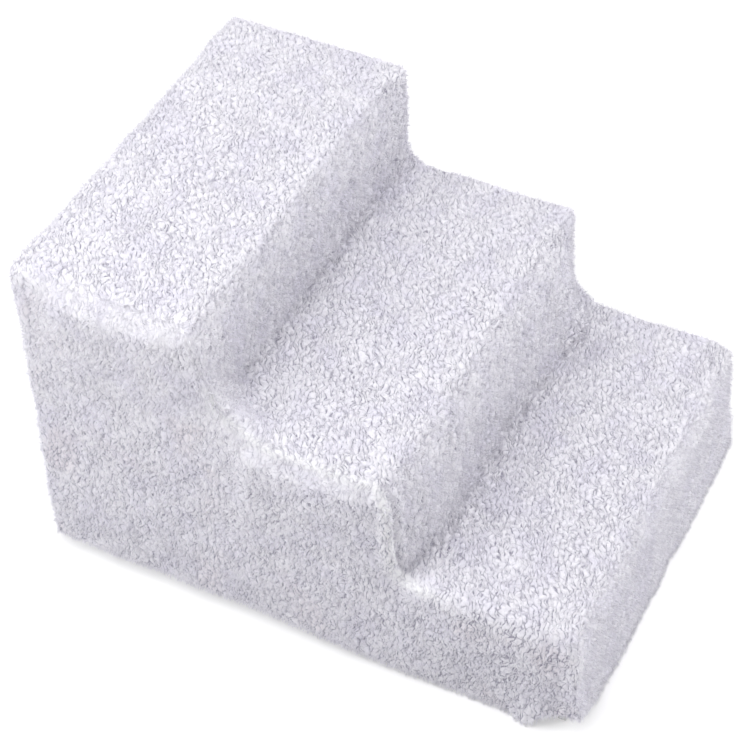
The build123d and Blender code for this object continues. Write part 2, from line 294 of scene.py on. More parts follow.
def profile_distance(points):
    """Distance outside the stairs' side outline, with rounded noses and bridged creases."""
    x, y, z = points.T
    distance = np.minimum.reduce([
        step_box(y, z, *nose_sizes(x, step), face, top)
        for step, (face, top) in enumerate(zip(riser_faces, tread_tops))
    ])
    for face, top, radius in zip(riser_faces[1:], tread_tops[:-1], crease_radii(x)):
        centre_y = face - radius
        centre_z = top + radius
        within = (y > centre_y) & (z < centre_z) & (y < face + radius) & (z > top - radius)
        filled = radius - np.hypot(y - centre_y, z - centre_z)
        distance = np.where(within, filled, distance)
    return distance


def both_ways(points, axis, reach):
    """The points moved ahead and behind along an axis."""
    ahead, behind = points.copy(), points.copy()
    ahead[:, axis] += reach
    behind[:, axis] -= reach
    return ahead, behind


def facing_up(points):
    """How far the side outline faces up, from 0 to 1."""
    rise = []
    for axis in (1, 2):
        ahead, behind = both_ways(points, axis, 0.4 * MM)
        rise.append(profile_distance(ahead) - profile_distance(behind))
    return np.clip(rise[1] / np.maximum(np.hypot(*rise), 1e-9), 0, 1)


def shoulder_share(points):
    """How much of a soft shoulder the left edge of each tread has, from 0 to 1."""
    lower_front = 0.45 * ease(-points[:, 1], -riser_faces[1] + 30 * MM, -riser_faces[0])
    above_lower = ease(points[:, 2], tread_tops[0] + 10 * MM, tread_tops[0] + 50 * MM)
    rear_end = ease(points[:, 1], back_face - 45 * MM, back_face - 5 * MM)
    return np.maximum(0.15 + lower_front, above_lower) * (1 - 0.7 * rear_end)


edge_radius = 6 * MM
right_edge_cut = 1.5 * MM
tread_edge_growth = 0.5 * MM
shoulder_width, shoulder_depth = 8.5 * MM, 15.5 * MM


def edge_sizes(points):
    """Width and depth of the rounding along the side edges: soft shoulders beside the treads."""
    up = facing_up(points)
    left = ease(-points[:, 0], -20 * MM, 20 * MM)
    soft = left * shoulder_share(points)
    plain = edge_radius - right_edge_cut * (1 - left) + soft * MM
    width = plain + up * (tread_edge_growth + shoulder_width * soft)
    depth = plain + up * up * (tread_edge_growth + shoulder_depth * soft)
    return width, depth


def cover_distance(points, width, depth):
    """Distance outside the rounded cover."""
    across = np.abs(points[:, 0]) - half_width - pile_stand + width
    along = (profile_distance(points) - pile_stand) * width / depth + width
    corner = np.hypot(np.maximum(across, 0), np.maximum(along, 0))
    return corner + np.minimum(np.maximum(across, along), 0) - width


def drawn_in(points):
    """The grid moved onto the rounded cover."""
    reach = 0.05 * MM
    for _ in range(4):
        width, depth = edge_sizes(points)
        away = cover_distance(points, width, depth)
        gradient = np.empty_like(points)
        for axis in range(3):
            ahead, behind = both_ways(points, axis, reach)
            rise = cover_distance(ahead, width, depth) - cover_distance(behind, width, depth)
            gradient[:, axis] = rise / (2 * reach)
        steep = np.maximum((gradient**2).sum(axis=1), 0.05)
        points = points - gradient * (away / steep)[:, None]
    return points


# Slack of the photographed cover. Each function gives a share, or a shift, for every grid point.
def left_end(x):
    """1 at the cover's left end, fading to 0 towards its middle."""
    return ease(-x, 0.6 * half_width, half_width)


def shifted(x=0.0, y=0.0, z=0.0):
    """One shift for each point from its parts along the axes."""
    return np.stack(np.broadcast_arrays(x, y, z), axis=1)


rim_reach = 6 * MM
rim_shift = np.array([-1.6, -0.8, 0.8]) * MM


def rim_share(points):
    """The rolled rim down the left edge, from the upper web to the lower tread, from 0 to 1."""
    x, y, z = points.T
    away = np.abs(x + half_width) + np.abs(profile_distance(points))
    along = ease(y, riser_faces[1] - 55 * MM, riser_faces[1] - 25 * MM)
    along *= 1 - ease(z, tread_tops[1] + 30 * MM, tread_tops[1] + 48 * MM)
    return bell(away, rim_reach) * along * (y < riser_faces[2] + 12 * MM)


groove_depth = 2.1 * MM
inner_ridge_height, outer_ridge_height = 1.6 * MM, 1.8 * MM


def seam_lines(points):
    """The groove of the seam near the middle riser's left edge, and the ridges on both its sides."""
    x, y, z = points.T
    inward, behind = x + half_width, y - riser_faces[1]
    low, high = tread_tops[:2]
    ends = ease(z, low - 5 * MM, low + 15 * MM) * (1 - ease(z, high - 22 * MM, high - 2 * MM))
    on_riser = ends * bell(behind, 4 * MM)
    groove = on_riser * bell(inward - 5.5 * MM, 1.9 * MM)
    inner_ridge = on_riser * bell(inward - 11 * MM, 3 * MM)
    outer_ridge = ends * bell(inward, 4 * MM) * bell(behind - 6 * MM, 5 * MM)
    return groove, inner_ridge, outer_ridge


def seam_slack(sharp):
    """The seam's groove between its two puffed ridges."""
    groove, inner_ridge, outer_ridge = seam_lines(sharp)
    out = groove_depth * groove - inner_ridge_height * inner_ridge
    return shifted(x=-outer_ridge_height * outer_ridge, y=out)


back_stand = 4 * MM
back_top_stand, back_top_left_stand = 2.5 * MM, 1.5 * MM
back_top_lift = 2.5 * MM


def back_slack(x, y, z):
    """The back stands out a little, most along its top."""
    rear_edge = ease(y, back_face - 50 * MM, back_face)
    top_edge = rear_edge * ease(z, tread_tops[-1] - 60 * MM, tread_tops[-1])
    out = back_stand * rear_edge + (back_top_stand + back_top_left_stand * left_end(x)) * top_edge
    return shifted(y=out, z=back_top_lift * top_edge)


swell_heights = (2.5 * MM, 6 * MM, 6 * MM)
swell_depths = (9 * MM, 19 * MM, 19 * MM)
swell_reach_up, swell_reach_down = 13 * MM, 45 * MM


def shoulder_slack(x, y, rounded_z):
    """The left shoulders swell beyond the frame, the most a little under each tread."""
    out = np.zeros(len(x))
    ends = riser_faces[1:] + [back_face]
    for face, top, rear, swell, depth in zip(riser_faces, tread_tops, ends, swell_heights, swell_depths):
        along = ease(y, face + 2 * MM, face + 35 * MM) * (1 - ease(y, rear - 40 * MM, rear - 10 * MM))
        height = rounded_z - top + depth
        under = bell(height, np.where(height > 0, swell_reach_up, swell_reach_down))
        out += swell * along * under
    return shifted(x=-out * left_end(x))


middle_foot_stand, middle_foot_right_stand, middle_head_stand = 13 * MM, 8 * MM, 6 * MM
upper_foot_stand, upper_head_stand = -2.5 * MM, 1.5 * MM
riser_slack_reach = 58 * MM


def riser_slack(x, y, z):
    """The middle riser stands out over the tread below it, most at its foot, and the upper one hardly."""
    inside = ease(x + half_width, 0, 50 * MM) * ease(half_width - x, 0, 45 * MM)
    middle_foot = middle_foot_stand + middle_foot_right_stand * ease(x, 0, 120 * MM)
    out = np.zeros(len(x))
    for step, foot, head in ((1, middle_foot, middle_head_stand), (2, upper_foot_stand, upper_head_stand)):
        low, high = tread_tops[step - 1], tread_tops[step]
        stand = foot + (head - foot) * np.clip((z - low) / (high - low), 0, 1)
        near = np.clip(1 - np.abs(y - riser_faces[step]) / riser_slack_reach, 0, 1)
        out += inside * near * stand * (z > low - 0.5 * grid_size)
    return shifted(y=-out)


front_corner_lean = np.array([-8, 3, 0]) * MM
front_corner_peak = np.array([0.5, -0.5, 4.5]) * MM
right_riser_stands = (2.6 * MM, 1.6 * MM)
lower_tread_lift = 1.6 * MM


def right_slack(sharp):
    """The front right corner leans in and peaks, and the right ends of the other risers stand out."""
    x, y, z = sharp.T
    right = ease(x, 0.6 * half_width, half_width)
    corner = right * ease(-y, -riser_faces[0] - 25 * MM, -riser_faces[0])
    corner *= np.clip((z - 10 * MM) / (90 * MM), 0, 1)
    peak = spot(sharp, (half_width, riser_faces[0], tread_tops[0]), (35 * MM, 40 * MM, 35 * MM))
    out = np.zeros(len(x))
    for face, top, stand in zip(riser_faces[1:], tread_tops[1:], right_riser_stands):
        low_end = 1 - ease(z, top - 70 * MM, top)
        beside = ease(z, top - 130 * MM, top - 96 * MM) * bell(y - face, 14 * MM)
        out += stand * right * beside * (0.35 + 0.65 * low_end)
    rear_part = ease(y, riser_faces[0] + 30 * MM, riser_faces[1])
    rear_part *= 1 - ease(y, riser_faces[1], riser_faces[1] + 9 * MM)
    rise = lower_tread_lift * right * rear_part * ease(z, 60 * MM, tread_tops[0])
    return corner[:, None] * front_corner_lean + peak[:, None] * front_corner_peak + shifted(y=-out, z=rise)


hem_reach = 70 * MM
corner_hem_lift, rear_hem_lift = 21 * MM, 13.5 * MM
front_hem_stand, left_hem_tuck = 3.5 * MM, 2.5 * MM
tuft_place, tuft_shift = 36 * MM, np.array([-5.5, 1.5, -4.5]) * MM


def corner_lift(points):
    """How far the hem is lifted at the front left corner."""
    low = 1 - ease(points[:, 2], hem_line, hem_reach)
    reach = (45 * MM, 40 * MM, 70 * MM)
    return corner_hem_lift * low * spot(points, (-half_width, riser_faces[0], 0), reach)


def hem_slack(sharp):
    """The hem rides up towards the back and at one corner, stands out in front and drops a tuft."""
    x, y, z = sharp.T
    left = left_end(x)
    low = 1 - ease(z, hem_line, hem_reach)
    rise = rear_hem_lift * ease(y, -190 * MM, 160 * MM) * (0.3 + 0.7 * left)
    front = ease(-y, -riser_faces[0] - 20 * MM, -riser_faces[0])
    tucked = left * (1 - ease(z, 0, 75 * MM)) * ease(-y, 60 * MM, 160 * MM)
    tuft = spot(sharp, (-half_width, riser_faces[0] + tuft_place, 0), (16 * MM, 14 * MM, 18 * MM))
    hem = shifted(left_hem_tuck * tucked, -front_hem_stand * front * low, low * rise + corner_lift(sharp))
    return hem + tuft[:, None] * tuft_shift


front_edge_width = 7 * MM
front_edge_puff = np.array([-2.4, -2.4, 0]) * MM
crease_pull = np.array([4.5, -1.5, -4]) * MM
wrinkle_width = 2.1 * MM
wrinkle_lean = 0.25

# Place across, place before the crease, length and depth of each wrinkle, in mm
wrinkles = (
    (-105, -12, 20, 2.0), (-85, -20, 15, 1.7), (-30, -12, 16, 1.5),
    (30, -9, 22, 1.7), (45, -18, 18, 1.7), (75, -27, 14, 1.5),
)


def edge_slack(sharp):
    """The front left edge is puffed, and the lower crease is pulled in at its left end."""
    x, y, z = sharp.T
    across = np.hypot(x + half_width, y - riser_faces[0])
    puffed = left_end(x) * bell(across, front_edge_width)
    puffed *= 1 - ease(z, tread_tops[0] - 30 * MM, tread_tops[0])
    pull = spot(sharp, (-half_width, riser_faces[1], tread_tops[0]), (30 * MM, 22 * MM, 30 * MM))
    return puffed[:, None] * front_edge_puff + pull[:, None] * crease_pull


def wrinkle_slack(x, y, z):
    """Short wrinkles are pressed into the lower tread."""
    on_tread = np.abs(z - tread_tops[0]) < 0.5 * grid_size
    pressed = np.zeros(len(x))
    for place_x, place_y, length, depth in wrinkles:
        along = x - place_x * MM
        across = y - riser_faces[1] - place_y * MM - wrinkle_lean * along
        pressed += on_tread * depth * MM * bell(across, wrinkle_width) * bell(along, length * MM)
    return shifted(z=-pressed)


def slackened(points, sharp):
    """The cover with the sags, tucks, wrinkles and lifted hem of the photographed one."""
    exact = sharp.astype(np.float64)
    x, y, z = exact.T
    shift = back_slack(x, y, z) + shoulder_slack(x, y, points[:, 2]) + riser_slack(x, y, z)
    shift += right_slack(exact) + hem_slack(exact) + seam_slack(exact) + edge_slack(exact)
    shift += rim_share(exact)[:, None] * rim_shift + wrinkle_slack(x, y, z)
    return (points + shift).astype(np.float32)


def corner_normals(points, quads):
    """Outward direction at each point, from the faces round it."""
    a, b, c, d = (points[quads[:, corner]] for corner in range(4))
    face = np.cross(c - a, d - b)
    total = np.zeros(points.shape, np.float64)
    for corner in range(4):
        for axis in range(3):
            weights = face[:, axis]
            total[:, axis] += np.bincount(quads[:, corner], weights=weights, minlength=len(points))
    length = np.linalg.norm(total, axis=1, keepdims=True)
    return (total / np.maximum(length, 1e-20)).astype(np.float32)


# Nubs of the fleece: the same cells shape the cloth and place the painted shade of the crevices in its
# material
def voronoi(tree, feature, place, size):
    """Cells of a size in metres, by their centres or by their edges."""
    texture = tree.nodes.new("ShaderNodeTexVoronoi")
    texture.feature = feature
    texture.inputs["Scale"].default_value = 1 / size
    texture.inputs["Randomness"].default_value = 0.95
    tree.links.new(place, texture.inputs["Vector"])
    return texture.outputs["Distance"]


def sampled(points, feature, size):
    """Distances that Blender's own cell texture gives at the points."""
    mesh = bpy.data.meshes.new("samples")
    mesh.vertices.add(len(points))
    mesh.vertices.foreach_set("co", points.astype(np.float32).ravel())
    tree = bpy.data.node_groups.new("sampler", "GeometryNodeTree")
    for direction in ("INPUT", "OUTPUT"):
        tree.interface.new_socket("Geometry", in_out=direction, socket_type="NodeSocketGeometry")
    start, end = tree.nodes.new("NodeGroupInput"), tree.nodes.new("NodeGroupOutput")
    place = tree.nodes.new("GeometryNodeInputPosition")
    store = tree.nodes.new("GeometryNodeStoreNamedAttribute")
    store.inputs["Name"].default_value = "sample"
    tree.links.new(start.outputs["Geometry"], store.inputs["Geometry"])
    distance = voronoi(tree, feature, place.outputs["Position"], size)
    tree.links.new(distance, store.inputs["Value"])
    tree.links.new(store.outputs["Geometry"], end.inputs["Geometry"])
    sampler = bpy.data.objects.new("sampler", mesh)
    bpy.context.scene.collection.objects.link(sampler)
    modifier = sampler.modifiers.new("sampler", "NODES")
    modifier.node_group = tree
    evaluated = sampler.evaluated_get(bpy.context.evaluated_depsgraph_get())
    values = np.zeros(len(points), np.float32)
    evaluated.data.attributes["sample"].data.foreach_get("value", values)
    bpy.data.objects.remove(sampler)
    bpy.data.meshes.remove(mesh)
    bpy.data.node_groups.remove(tree)
    return values


lay = np.array([-0.75, -0.33, -0.56], np.float32)
across_lay = np.array([-0.4, 0.9, 0.12], np.float32)
across_lay /= np.linalg.norm(across_lay)
squeeze = 2.7
slow_warp, slow_warp_size = 1.8 * MM, 36 * MM
curl_warp, curl_warp_size = 1.2 * MM, 11 * MM
fine_warp_share, fine_warp_size = 0.55, 5.5 * MM


def pile_places(points):
    """The points bent and drawn out, so that cells on them are curled and lie one way."""
    curls = drifts(points, curl_warp_size, 11) + fine_warp_share * drifts(points, fine_warp_size, 14)
    bent = points + curl_warp * curls + slow_warp * drifts(points, slow_warp_size, 17)
    return (bent + (squeeze - 1) * (bent @ across_lay)[:, None] * across_lay).astype(np.float32)


sharp = sharp_places()
bridging = bridged(sharp)
base = slackened(drawn_in(bridging), sharp)
base_normals = corner_normals(base, all_quads)
pile = pile_places(base)

nub_edge = sampled(pile, "DISTANCE_TO_EDGE", nub_size)
nub_centre = sampled(pile, "F1", nub_size)
curl_edge = sampled(pile, "DISTANCE_TO_EDGE", curl_size)

# Crevices that run along the lay are the deep ones; their width is evened out in metres
test_step = 0.6 * MM
ahead = sampled(pile + test_step * across_lay, "DISTANCE_TO_EDGE", nub_size)
behind = sampled(pile - test_step * across_lay, "DISTANCE_TO_EDGE", nub_size)
slope = np.maximum(np.abs(ahead - nub_edge), np.abs(nub_edge - behind)) * nub_size / test_step
along_lay = np.clip(slope, 0, 1) ** 2
edge_reach = nub_size / np.sqrt(1 + (squeeze**2 - 1) * along_lay)
breaks = 0.6 * drift(base, 6 * MM, 31) + 0.2 * drift(base, 26 * MM, 32)
broken = np.clip(0.82 + breaks, 0.12, 1)
least_crevice = 0.42
crevice_share = broken * (least_crevice + (1 - least_crevice) * along_lay)

dome_drop = 0.6
crevice_width, crevice_depth = 1.3 * MM, 0.8
curl_width, curl_depth = 0.28, 0.2
seam_depth = 0.25
dome = 1 - dome_drop * nub_centre**2
crevice = ease(nub_edge * edge_reach, 0.0, crevice_width)
curl = ease(curl_edge, 0.0, curl_width)
nub_height = dome * (1 - crevice_depth * crevice_share * (1 - crevice)) * (1 - curl_depth * (1 - curl))
nub_height -= seam_depth * seam_lines(sharp)[0]

sideways = np.abs(base_normals[:, 0])
rim = rim_share(bridging)
front_edge_share, rim_softness = 0.6, 0.5


def soft_share():
    """Where the pile is smooth: the left shoulders, the webs, the front left edge and the rim."""
    upward = np.clip(base_normals[:, 2], 0, 1)
    shoulders = np.clip(4 * sideways * upward, 0, 1) ** 1.5 * ease(-base[:, 0], 0, 100 * MM)
    shoulders *= shoulder_share(base) * ease(sideways, 0.25, 0.65)
    upper_place = (-half_width, riser_faces[2] - 16 * MM, tread_tops[1] + 14 * MM)
    lower_place = (-half_width, riser_faces[1] - 20 * MM, tread_tops[0])
    webs = spot(base, upper_place, (50 * MM, 35 * MM, 35 * MM))
    webs += spot(base, lower_place, (25 * MM, 22 * MM, 15 * MM))
    across = np.hypot(base[:, 0] + half_width, base[:, 1] - riser_faces[0])
    front_edge = bell(across, front_edge_width) * (base[:, 2] < tread_tops[0] - 12 * MM)
    return np.clip(shoulders + webs + front_edge_share * front_edge + rim_softness * rim, 0, 1)


# Painted light and shade per panel: how much the crevice shade is raised or cut on each part
side_gain, front_side_gain, rear_side_cut = 0.2, 0.75, 0.5
riser_cut, lowest_riser_cut, riser_right_gain = 0.35, 0.35, 0.8
right_half_cut, soft_cut = 0.22, 0.6


def painted_shade_by_panel():
    """Strength of the painted crevice shade on each part: more on the sides and towards the front of the
    left side, less at its rear, on the risers, on the lowest riser, on the right half and on the smooth
    parts, and more at the risers' right ends, painting the light and shade that falls on each panel.
    """
    rear_side = ease(base[:, 2], 100 * MM, 260 * MM) * ease(base[:, 1], -20 * MM, 100 * MM)
    front_side = ease(-base[:, 1], 40 * MM, 170 * MM)
    lowest = 1 - ease(base[:, 1], riser_faces[0] + 10 * MM, riser_faces[0] + 40 * MM)
    riser_right = np.clip(-base_normals[:, 1], 0, 1) * ease(base[:, 0], 80 * MM, 165 * MM) * (1 - lowest)
    tones = 1 + sideways * (side_gain - rear_side_cut * rear_side + front_side_gain * front_side)
    tones -= np.abs(base_normals[:, 1]) * (riser_cut + lowest_riser_cut * lowest)
    tones += riser_right_gain * riser_right
    tones *= 1 - right_half_cut * ease(base[:, 0], 0, half_width)
    return crevice_share * tones * (1 - soft_cut * softness)


# The pile is flatter on the sides and where it is smooth
softness = soft_share()
# Painted shade in the crevices, varied by panel to paint the light and shade on each
painted_crevice_shade = painted_shade_by_panel()
middle_height = 0.72
side_flatness, soft_flatness = 0.25, 0.5
pile_share = 1 - side_flatness * sideways - soft_flatness * softness
puff = 0.8 * MM * drift(base, 55 * MM, 41) + 0.15 * MM * drift(base, 22 * MM, 42)
lift = (nub_height - middle_height) * nub_depth * pile_share + puff
places = base + base_normals * lift[:, None]
outer_normals = corner_normals(places, all_quads)


# Materials
def new_material(name, slot_colour, roughness):
    """Material, its node tree to add to, and its shader."""
    material = bpy.data.materials.new(name)
    material.use_nodes = True
    tree = material.node_tree
    shader = tree.nodes["Principled BSDF"]
    shader.inputs["Base Color"].default_value = (*slot_colour, 1)
    shader.inputs["Roughness"].default_value = roughness
    return material, tree, shader


def object_place(tree, stretch=(1, 1, 1)):
    """Place on the piece in metres, stretched along its axes."""
    mapping = tree.nodes.new("ShaderNodeMapping")
    mapping.inputs["Scale"].default_value = stretch
    tree.links.new(tree.nodes.new("ShaderNodeTexCoord").outputs["Object"], mapping.inputs["Vector"])
    return mapping.outputs["Vector"]


def attribute(tree, name):
    """The node that reads a value kept on the piece's points."""
    reader = tree.nodes.new("ShaderNodeAttribute")
    reader.attribute_name = name
    return reader


def noise(tree, place, size, detail, roughness=0.5):
    """Noise with blobs of a size in metres, from 0 to 1."""
    texture = tree.nodes.new("ShaderNodeTexNoise")
    texture.inputs["Scale"].default_value = 1 / size
    texture.inputs["Detail"].default_value = detail
    texture.inputs["Roughness"].default_value = roughness
    tree.links.new(place, texture.inputs["Vector"])
    return texture.outputs["Fac"]


def spread(tree, value, low, high, new_low=0.0, new_high=1.0):
    """The value eased from one range to another."""
    node = tree.nodes.new("ShaderNodeMapRange")
    node.interpolation_type = "SMOOTHSTEP"
    node.inputs["From Min"].default_value = low
    node.inputs["From Max"].default_value = high
    node.inputs["To Min"].default_value = new_low
    node.inputs["To Max"].default_value = new_high
    tree.links.new(value, node.inputs["Value"])
    return node.outputs["Result"]


def maths(tree, operation, first, second):
    """Two values, or a value and a number, put together."""
    node = tree.nodes.new("ShaderNodeMath")
    node.operation = operation
    for socket, value in zip(node.inputs, (first, second)):
        if isinstance(value, (int, float)):
            socket.default_value = value
        else:
            tree.links.new(value, socket)
    return node.outputs["Value"]


def mixed(tree, share, first, second):
    """Colour between two colours, by a share of 0 to 1."""
    node = tree.nodes.new("ShaderNodeMix")
    node.data_type = "RGBA"
    tree.links.new(share, node.inputs["Factor"])
    for name, colour in (("A", first), ("B", second)):
        socket = next(s for s in node.inputs if s.name == name and s.type == "RGBA")
        if isinstance(colour, tuple):
            socket.default_value = (*colour, 1)
        else:
            tree.links.new(colour, socket)
    return next(s for s in node.outputs if s.type == "RGBA")


def paint(tree, shader, share, first, second):
    """The surface's colour, between two colours by a share of 0 to 1."""
    tree.links.new(mixed(tree, share, first, second), shader.inputs["Base Color"])


def bump(tree, shader, height, distance, strength):
    """Relief of so many metres from a height of 0 to 1."""
    relief = tree.nodes.new("ShaderNodeBump")
    relief.inputs["Strength"].default_value = strength
    relief.inputs["Distance"].default_value = distance
    tree.links.new(height, relief.inputs["Height"])
    tree.links.new(relief.outputs["Normal"], shader.inputs["Normal"])


white_pile = (0.90, 0.89, 0.93)
lavender_pile = (0.85, 0.835, 0.91)
pink_pile = (0.88, 0.83, 0.865)
# Colours of the painted shade in the crevices and of the painted highlight on the rim
painted_shade_colour = (0.34, 0.33, 0.40)
painted_rim_highlight = (0.95, 0.95, 0.96)
light_fibre = (0.87, 0.86, 0.90)
shaded_fibre = (0.66, 0.65, 0.71)
# Width and strength of the painted shade lines along the cell edges
line_width, line_strength = 0.62 * MM, 1.2


def fleece_pile():
    """White pile with lavender clouds, with painted shade in its crevices, curls and low places, and a
    painted highlight on the rim and the smooth parts.
    """
    material, tree, shader = new_material("fleece_pile", white_pile, 0.95)
    place = object_place(tree)
    pile_place = attribute(tree, "pile_place").outputs["Vector"]
    share = attribute(tree, "crevice_share").outputs["Fac"]
    height = attribute(tree, "nub_height").outputs["Fac"]
    clouds = noise(tree, place, 26 * MM, 2)
    colour = mixed(tree, spread(tree, clouds, 0.42, 0.68), white_pile, lavender_pile)
    blush = noise(tree, place, 60 * MM, 2)
    side_share = attribute(tree, "side_share").outputs["Fac"]
    blush = maths(tree, "MULTIPLY", spread(tree, blush, 0.56, 0.7, 0, 0.6), side_share)
    colour = mixed(tree, blush, colour, pink_pile)
    # Painted highlight on the rim and the smooth parts
    colour = mixed(tree, attribute(tree, "rim_share").outputs["Fac"], colour, painted_rim_highlight)
    # Painted shade lines along the crevices between the nubs
    edge = voronoi(tree, "DISTANCE_TO_EDGE", pile_place, nub_size)
    edge = maths(tree, "MULTIPLY", edge, attribute(tree, "edge_reach").outputs["Fac"])
    line = maths(tree, "MULTIPLY", spread(tree, edge, 0.0, line_width, 1, 0), share)
    # Painted shade in dark strokes between the curls
    strokes = spread(tree, noise(tree, pile_place, 3.0 * MM, 2), 0.36, 0.5, 0.42, 0)
    painted_curl_shade = maths(tree, "MULTIPLY", strokes, share)
    # Painted shade in the low places of the pile
    depth = spread(tree, height, 0.05, 0.75, 0.28, 0)
    dark = maths(tree, "ADD", maths(tree, "MULTIPLY", line, line_strength), painted_curl_shade)
    dark = maths(tree, "MINIMUM", maths(tree, "ADD", dark, depth), 1.0)
    paint(tree, shader, dark, colour, painted_shade_colour)
    shader.inputs["Specular IOR Level"].default_value = 0.1
    shader.inputs["Sheen Weight"].default_value = 0.2
    shader.inputs["Sheen Roughness"].default_value = 0.5
    fibres = noise(tree, pile_place, 1.1 * MM, 3, 0.6)
    bump(tree, shader, fibres, 0.7 * MM, 0.7)
    return material


def fibre_ends():
    """Loose ends of the pile."""
    material, tree, shader = new_material("fibre_ends", white_pile, 1.0)
    shade = spread(tree, attribute(tree, "shade").outputs["Fac"], 0.4, 1.0)
    paint(tree, shader, shade, light_fibre, shaded_fibre)
    shader.inputs["Specular IOR Level"].default_value = 0.05
    return material


def knit_backing():
    """Flat knitted back of the fleece."""
    material, tree, shader = new_material("knit_backing", (0.7, 0.7, 0.73), 0.9)
    loops = noise(tree, object_place(tree, (1, 1, 1.6)), 1.6 * MM, 2)
    paint(tree, shader, loops, (0.6, 0.6, 0.63), (0.78, 0.78, 0.81))
    bump(tree, shader, loops, 0.3 * MM, 0.6)
    return material


def moulded_plastic(name, dark, light, roughness):
    """Moulded plastic with a fine spark texture and faint flow marks."""
    material, tree, shader = new_material(name, light, roughness)
    place = object_place(tree)
    marks = noise(tree, place, 35 * MM, 3)
    paint(tree, shader, spread(tree, marks, 0.3, 0.7), dark, light)
    sparks = noise(tree, place, 0.6 * MM, 2)
    gloss = spread(tree, marks, 0.3, 0.7, roughness - 0.06, roughness + 0.06)
    tree.links.new(gloss, shader.inputs["Roughness"])
    bump(tree, shader, sparks, 0.05 * MM, 0.5)
    return material


def plated_steel():
    """Zinc-plated tube with fine drawing marks along it."""
    material, tree, shader = new_material("plated_steel", (0.62, 0.63, 0.65), 0.35)
    shader.inputs["Metallic"].default_value = 1.0
    drawn = noise(tree, object_place(tree, (0.04, 1, 1)), 0.8 * MM, 3)
    paint(tree, shader, drawn, (0.54, 0.55, 0.58), (0.70, 0.71, 0.72))
    tree.links.new(spread(tree, drawn, 0.3, 0.7, 0.27, 0.42), shader.inputs["Roughness"])
    bump(tree, shader, drawn, 0.02 * MM, 0.4)
    return material


def rubber():
    """Matt black rubber with a fine grain."""
    material, tree, shader = new_material("rubber", (0.03, 0.03, 0.032), 0.75)
    grain = noise(tree, object_place(tree), 0.7 * MM, 3)
    paint(tree, shader, grain, (0.022, 0.022, 0.024), (0.05, 0.05, 0.052))
    bump(tree, shader, grain, 0.08 * MM, 0.6)
    return material


def napped_tape(name, pitch, strength):
    """Woven tape covered in hooks or in loops, with painted shade in the hollows between them."""
    material, tree, shader = new_material(name, (0.85, 0.85, 0.87), 0.85)
    place = object_place(tree)
    heads = voronoi(tree, "F1", place, pitch)
    # Painted shade: darker away from the head centres, in the hollows between them
    share = spread(tree, heads, 0.2, 0.8)
    paint(tree, shader, share, (0.88, 0.88, 0.9), (0.6, 0.6, 0.64))
    bump(tree, shader, heads, -pitch / 2, strength)
    return material


finishes = {
    "frame_plastic": moulded_plastic("frame_plastic", (0.55, 0.55, 0.54), (0.60, 0.60, 0.585), 0.5),
    "panel_plastic": moulded_plastic("panel_plastic", (0.60, 0.60, 0.585), (0.65, 0.65, 0.635), 0.45),
    "tube_steel": plated_steel(),
    "clip_plastic": moulded_plastic("clip_nylon", (0.25, 0.26, 0.28), (0.30, 0.31, 0.33), 0.4),
    "foot_rubber": rubber(),
    "hook_tape": napped_tape("hook_tape", 1.4 * MM, 0.9),
    "loop_tape": napped_tape("loop_tape", 0.8 * MM, 0.7),
}
for subpart in frame["record"]["subparts"]:
    if subpart["material_slot"] in finishes:
        for holder in frame["nodes"][subpart["node"]].material_slots:
            holder.material = finishes[subpart["material_slot"]]
pile_finish = fleece_pile()
fibre_finish = fibre_ends()
backing_finish = knit_backing()


# Panels of the cover as closed pieces
lining_half_width = half_width - cloth_thickness
lining_hem = hem_line + 9 * MM


def inner_profile():
    """Lining places (y, z) under each place of the runner's path, turn by turn."""
    corners = []
    for face, top in zip(riser_faces, tread_tops):
        below = corners[-1][1] if corners else lining_hem
        corners += [(face + cloth_thickness, below), (face + cloth_thickness, top - cloth_thickness)]
    rear = back_face - cloth_thickness
    corners += [(rear, corners[-1][1]), (rear, lining_hem)]
    lines = []
    for start, end, first, last in zip(corners, corners[1:], turns, turns[1:]):
        lines.append(np.linspace(start, end, last - first + 1))
    return joined(lines)


lining = inner_profile()


def add_mesh(name, vertices, faces, materials, slots):
    """Object at the origin from points, faces and the material of each face."""
    mesh = bpy.data.meshes.new(name)
    mesh.from_pydata(vertices.tolist(), [], faces)
    for material in materials:
        mesh.materials.append(material)
    mesh.polygons.foreach_set("material_index", slots)
    piece = bpy.data.objects.new(name, mesh)
    bpy.context.scene.collection.objects.link(piece)
    return piece


def keep_values(mesh, name, kind, values):
    """Values kept on the points for the material to read."""
    store = mesh.attributes.new(name, kind, "POINT")
    key = "vector" if kind == "FLOAT_VECTOR" else "value"
    store.data.foreach_set(key, values.astype(np.float32).ravel())


